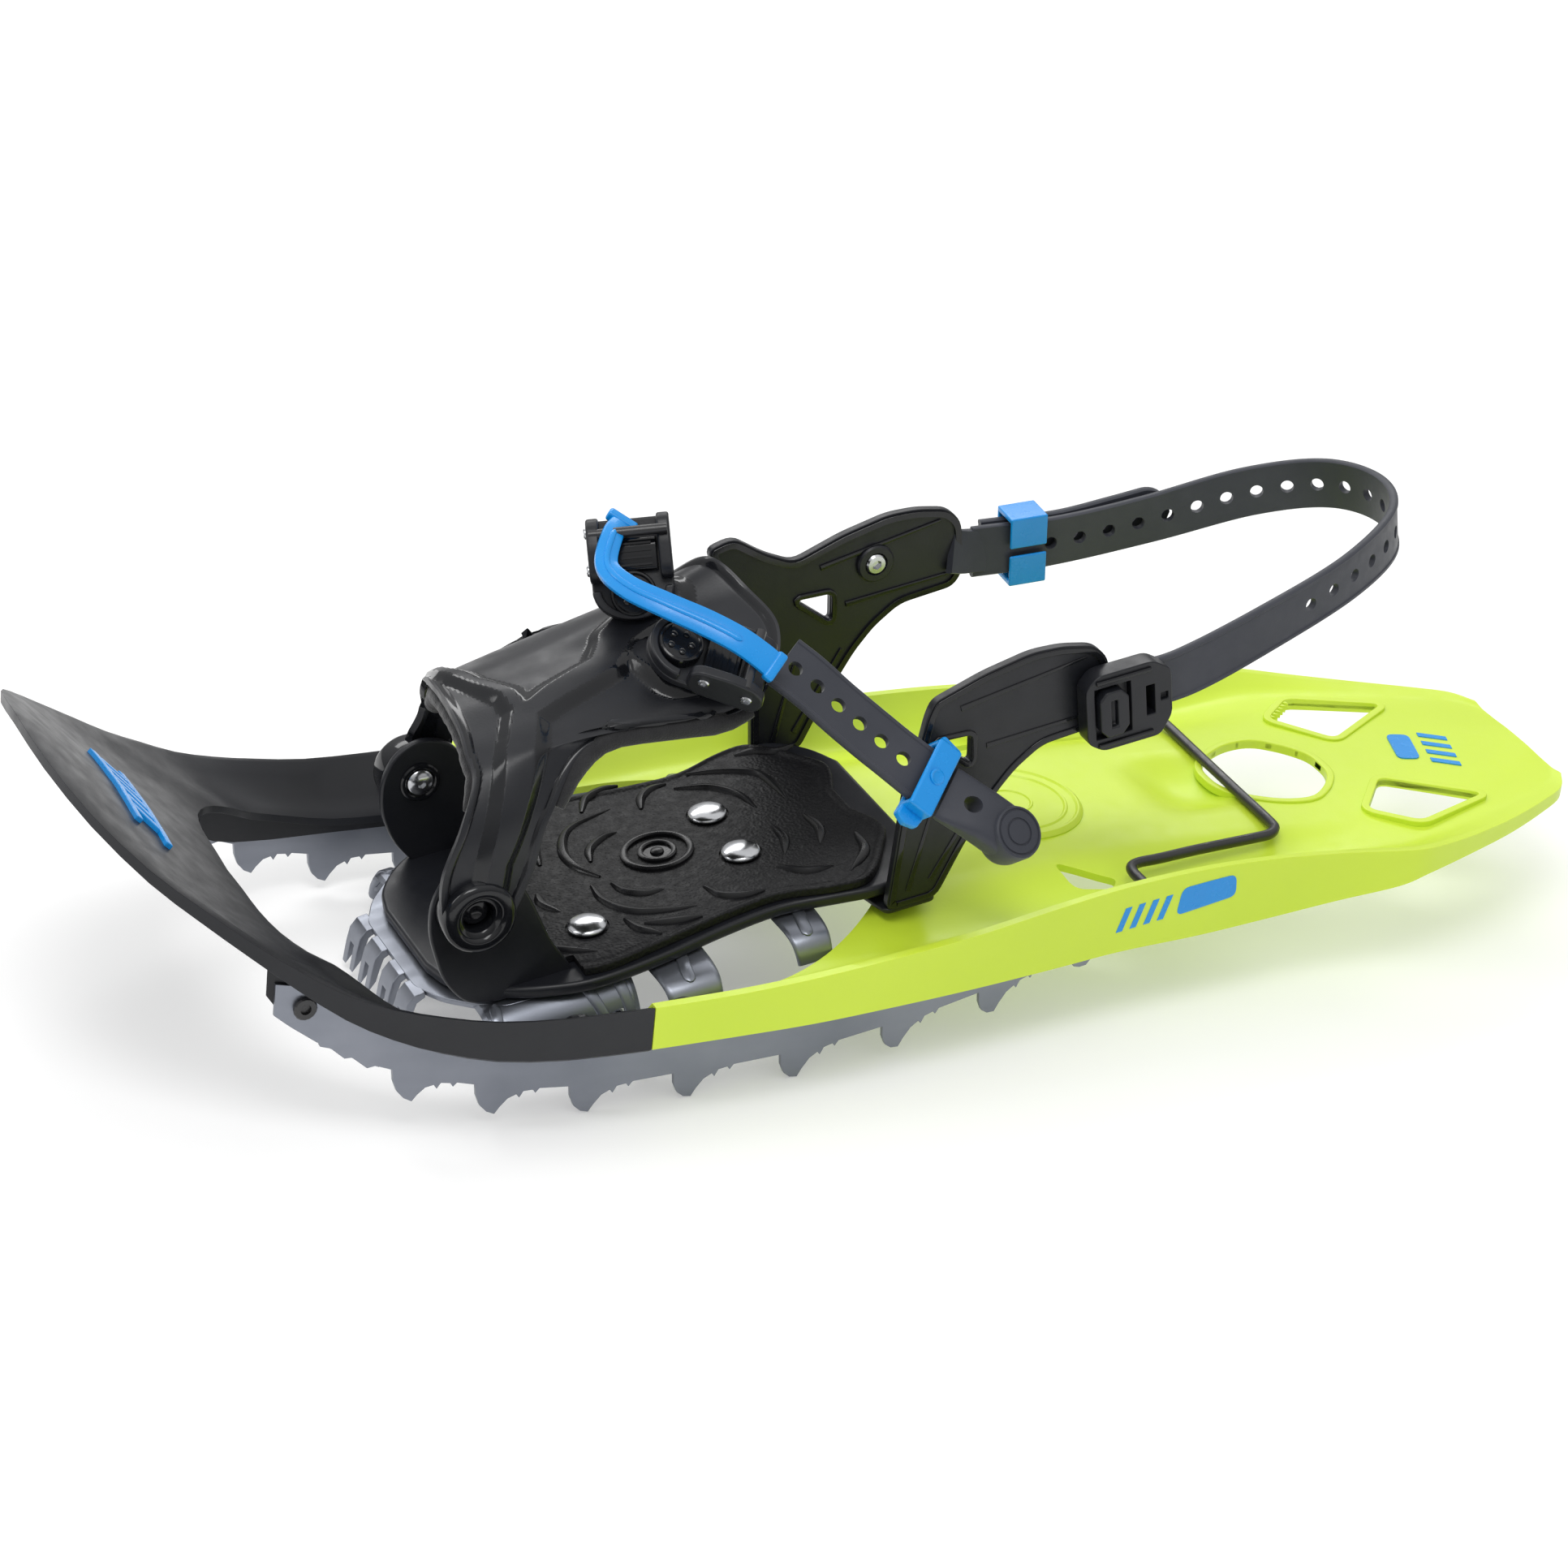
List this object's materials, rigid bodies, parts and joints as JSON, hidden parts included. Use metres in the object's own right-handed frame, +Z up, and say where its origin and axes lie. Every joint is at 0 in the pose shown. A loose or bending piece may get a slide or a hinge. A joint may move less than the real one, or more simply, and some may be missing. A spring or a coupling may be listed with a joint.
{
  "type": "snowshoe",
  "caption": "Moulded plastic snowshoe with upturned nose, toothed steel side rails, heel lift wire and a pivoting boot binding with toe cage and straps.",
  "frame": {"origin": "on the ground under the middle of the shoe, at the tips of the lowest rail teeth", "axes": "+Z up, nose towards -X, tail towards +X, wearer's left towards -Y"},
  "size_m": [0.608, 0.2042, 0.1754],
  "materials": {
    "lime_plastic": "satin moulded",
    "black_plastic": "satin moulded",
    "slate_rubber": "matt",
    "foam": "soft foam skin",
    "rail_steel": "grey heat-treated steel",
    "bright_steel": "polished",
    "black_steel": "satin black",
    "blue_plastic": "glossy moulded"
  },
  "bodies": {
    "frame": {"axle_bush_left": "black_plastic", "axle_bush_right": "black_plastic", "frame_rivet_left_front": "black_plastic", "frame_rivet_left_rear": "black_plastic", "frame_rivet_right_front": "black_plastic", "frame_rivet_right_rear": "black_plastic", "nose_badge": "blue_plastic", "nose_frame": "black_plastic", "pivot_axle": "bright_steel", "rail_screw_left": "black_steel", "rail_screw_right": "black_steel", "tail_deck": "lime_plastic", "traction_rail_left": "rail_steel", "traction_rail_right": "rail_steel"},
    "binding": {"buckle_base_left": "black_plastic", "buckle_base_right": "black_plastic", "buckle_cap_left": "black_plastic", "buckle_cap_right": "black_plastic", "buckle_cheek_inner_left": "black_plastic", "buckle_cheek_inner_right": "black_plastic", "buckle_cheek_outer_left": "black_plastic", "buckle_cheek_outer_right": "black_plastic", "buckle_roller_left": "black_steel", "buckle_roller_right": "black_steel", "buckle_screw_front_left": "bright_steel", "buckle_screw_front_right": "bright_steel", "buckle_screw_rear_left": "bright_steel", "buckle_screw_rear_right": "bright_steel", "cage_boss_left": "black_plastic", "cage_boss_right": "black_plastic", "ear_rivet_left": "bright_steel", "ear_rivet_right": "bright_steel", "footplate": "black_plastic", "handle_cap": "slate_rubber", "heel_buckle": "black_plastic", "heel_strap": "slate_rubber", "heel_strap_tail": "slate_rubber", "heel_yoke": "black_plastic", "instep_strap": "slate_rubber", "liner_front": "foam", "liner_left": "foam", "liner_right": "foam", "strap_handle": "slate_rubber", "toe_cage": "black_plastic", "toe_crampon": "rail_steel", "tread_pad": "black_plastic", "tread_rivet_left_front": "bright_steel", "tread_rivet_left_rear": "bright_steel", "tread_rivet_right_front": "bright_steel", "tread_rivet_right_rear": "bright_steel", "wing_rivet_left": "bright_steel", "wing_rivet_right": "bright_steel"},
    "heel_lift": {"heel_lift_bail": "black_steel"},
    "lever": {"quick_lever": "blue_plastic"},
    "latch": {"heel_latch": "black_plastic"},
    "keeper": {"strap_keeper": "blue_plastic"},
    "clip": {"instep_clip": "blue_plastic"}
  },
  "joints": [
    {"name": "toe_pivot", "type": "hinge", "parent": "frame", "child": "binding", "pos_m": [-0.0999, 0, 0.01857], "axis": [0, -1, 0], "range_deg": [0, 60]},
    {"name": "heel_lift_hinge", "type": "hinge", "parent": "frame", "child": "heel_lift", "pos_m": [0.099, 0, 0.0512], "axis": [0, -1, 0], "range_deg": [0, 90]},
    {"name": "lever_hinge", "type": "hinge", "parent": "binding", "child": "lever", "pos_m": [-0.05465, -0.04261, 0.14329], "axis": [0.5012, 0.7278, 0.4681], "range_deg": [0, 30]},
    {"name": "latch_hinge", "type": "hinge", "parent": "binding", "child": "latch", "pos_m": [0.08182, -0.0683, 0.12375], "axis": [-0.1788, 0, 0.9839], "range_deg": [0, 30]},
    {"name": "keeper_slide", "type": "slide", "parent": "binding", "child": "keeper", "axis": [-0.9945, 0.055, -0.0892], "range_m": [-0.006, 0.006]},
    {"name": "clip_slide", "type": "slide", "parent": "binding", "child": "clip", "axis": [0.7518, -0.3146, -0.5794], "range_m": [-0.004, 0]}
  ]
}
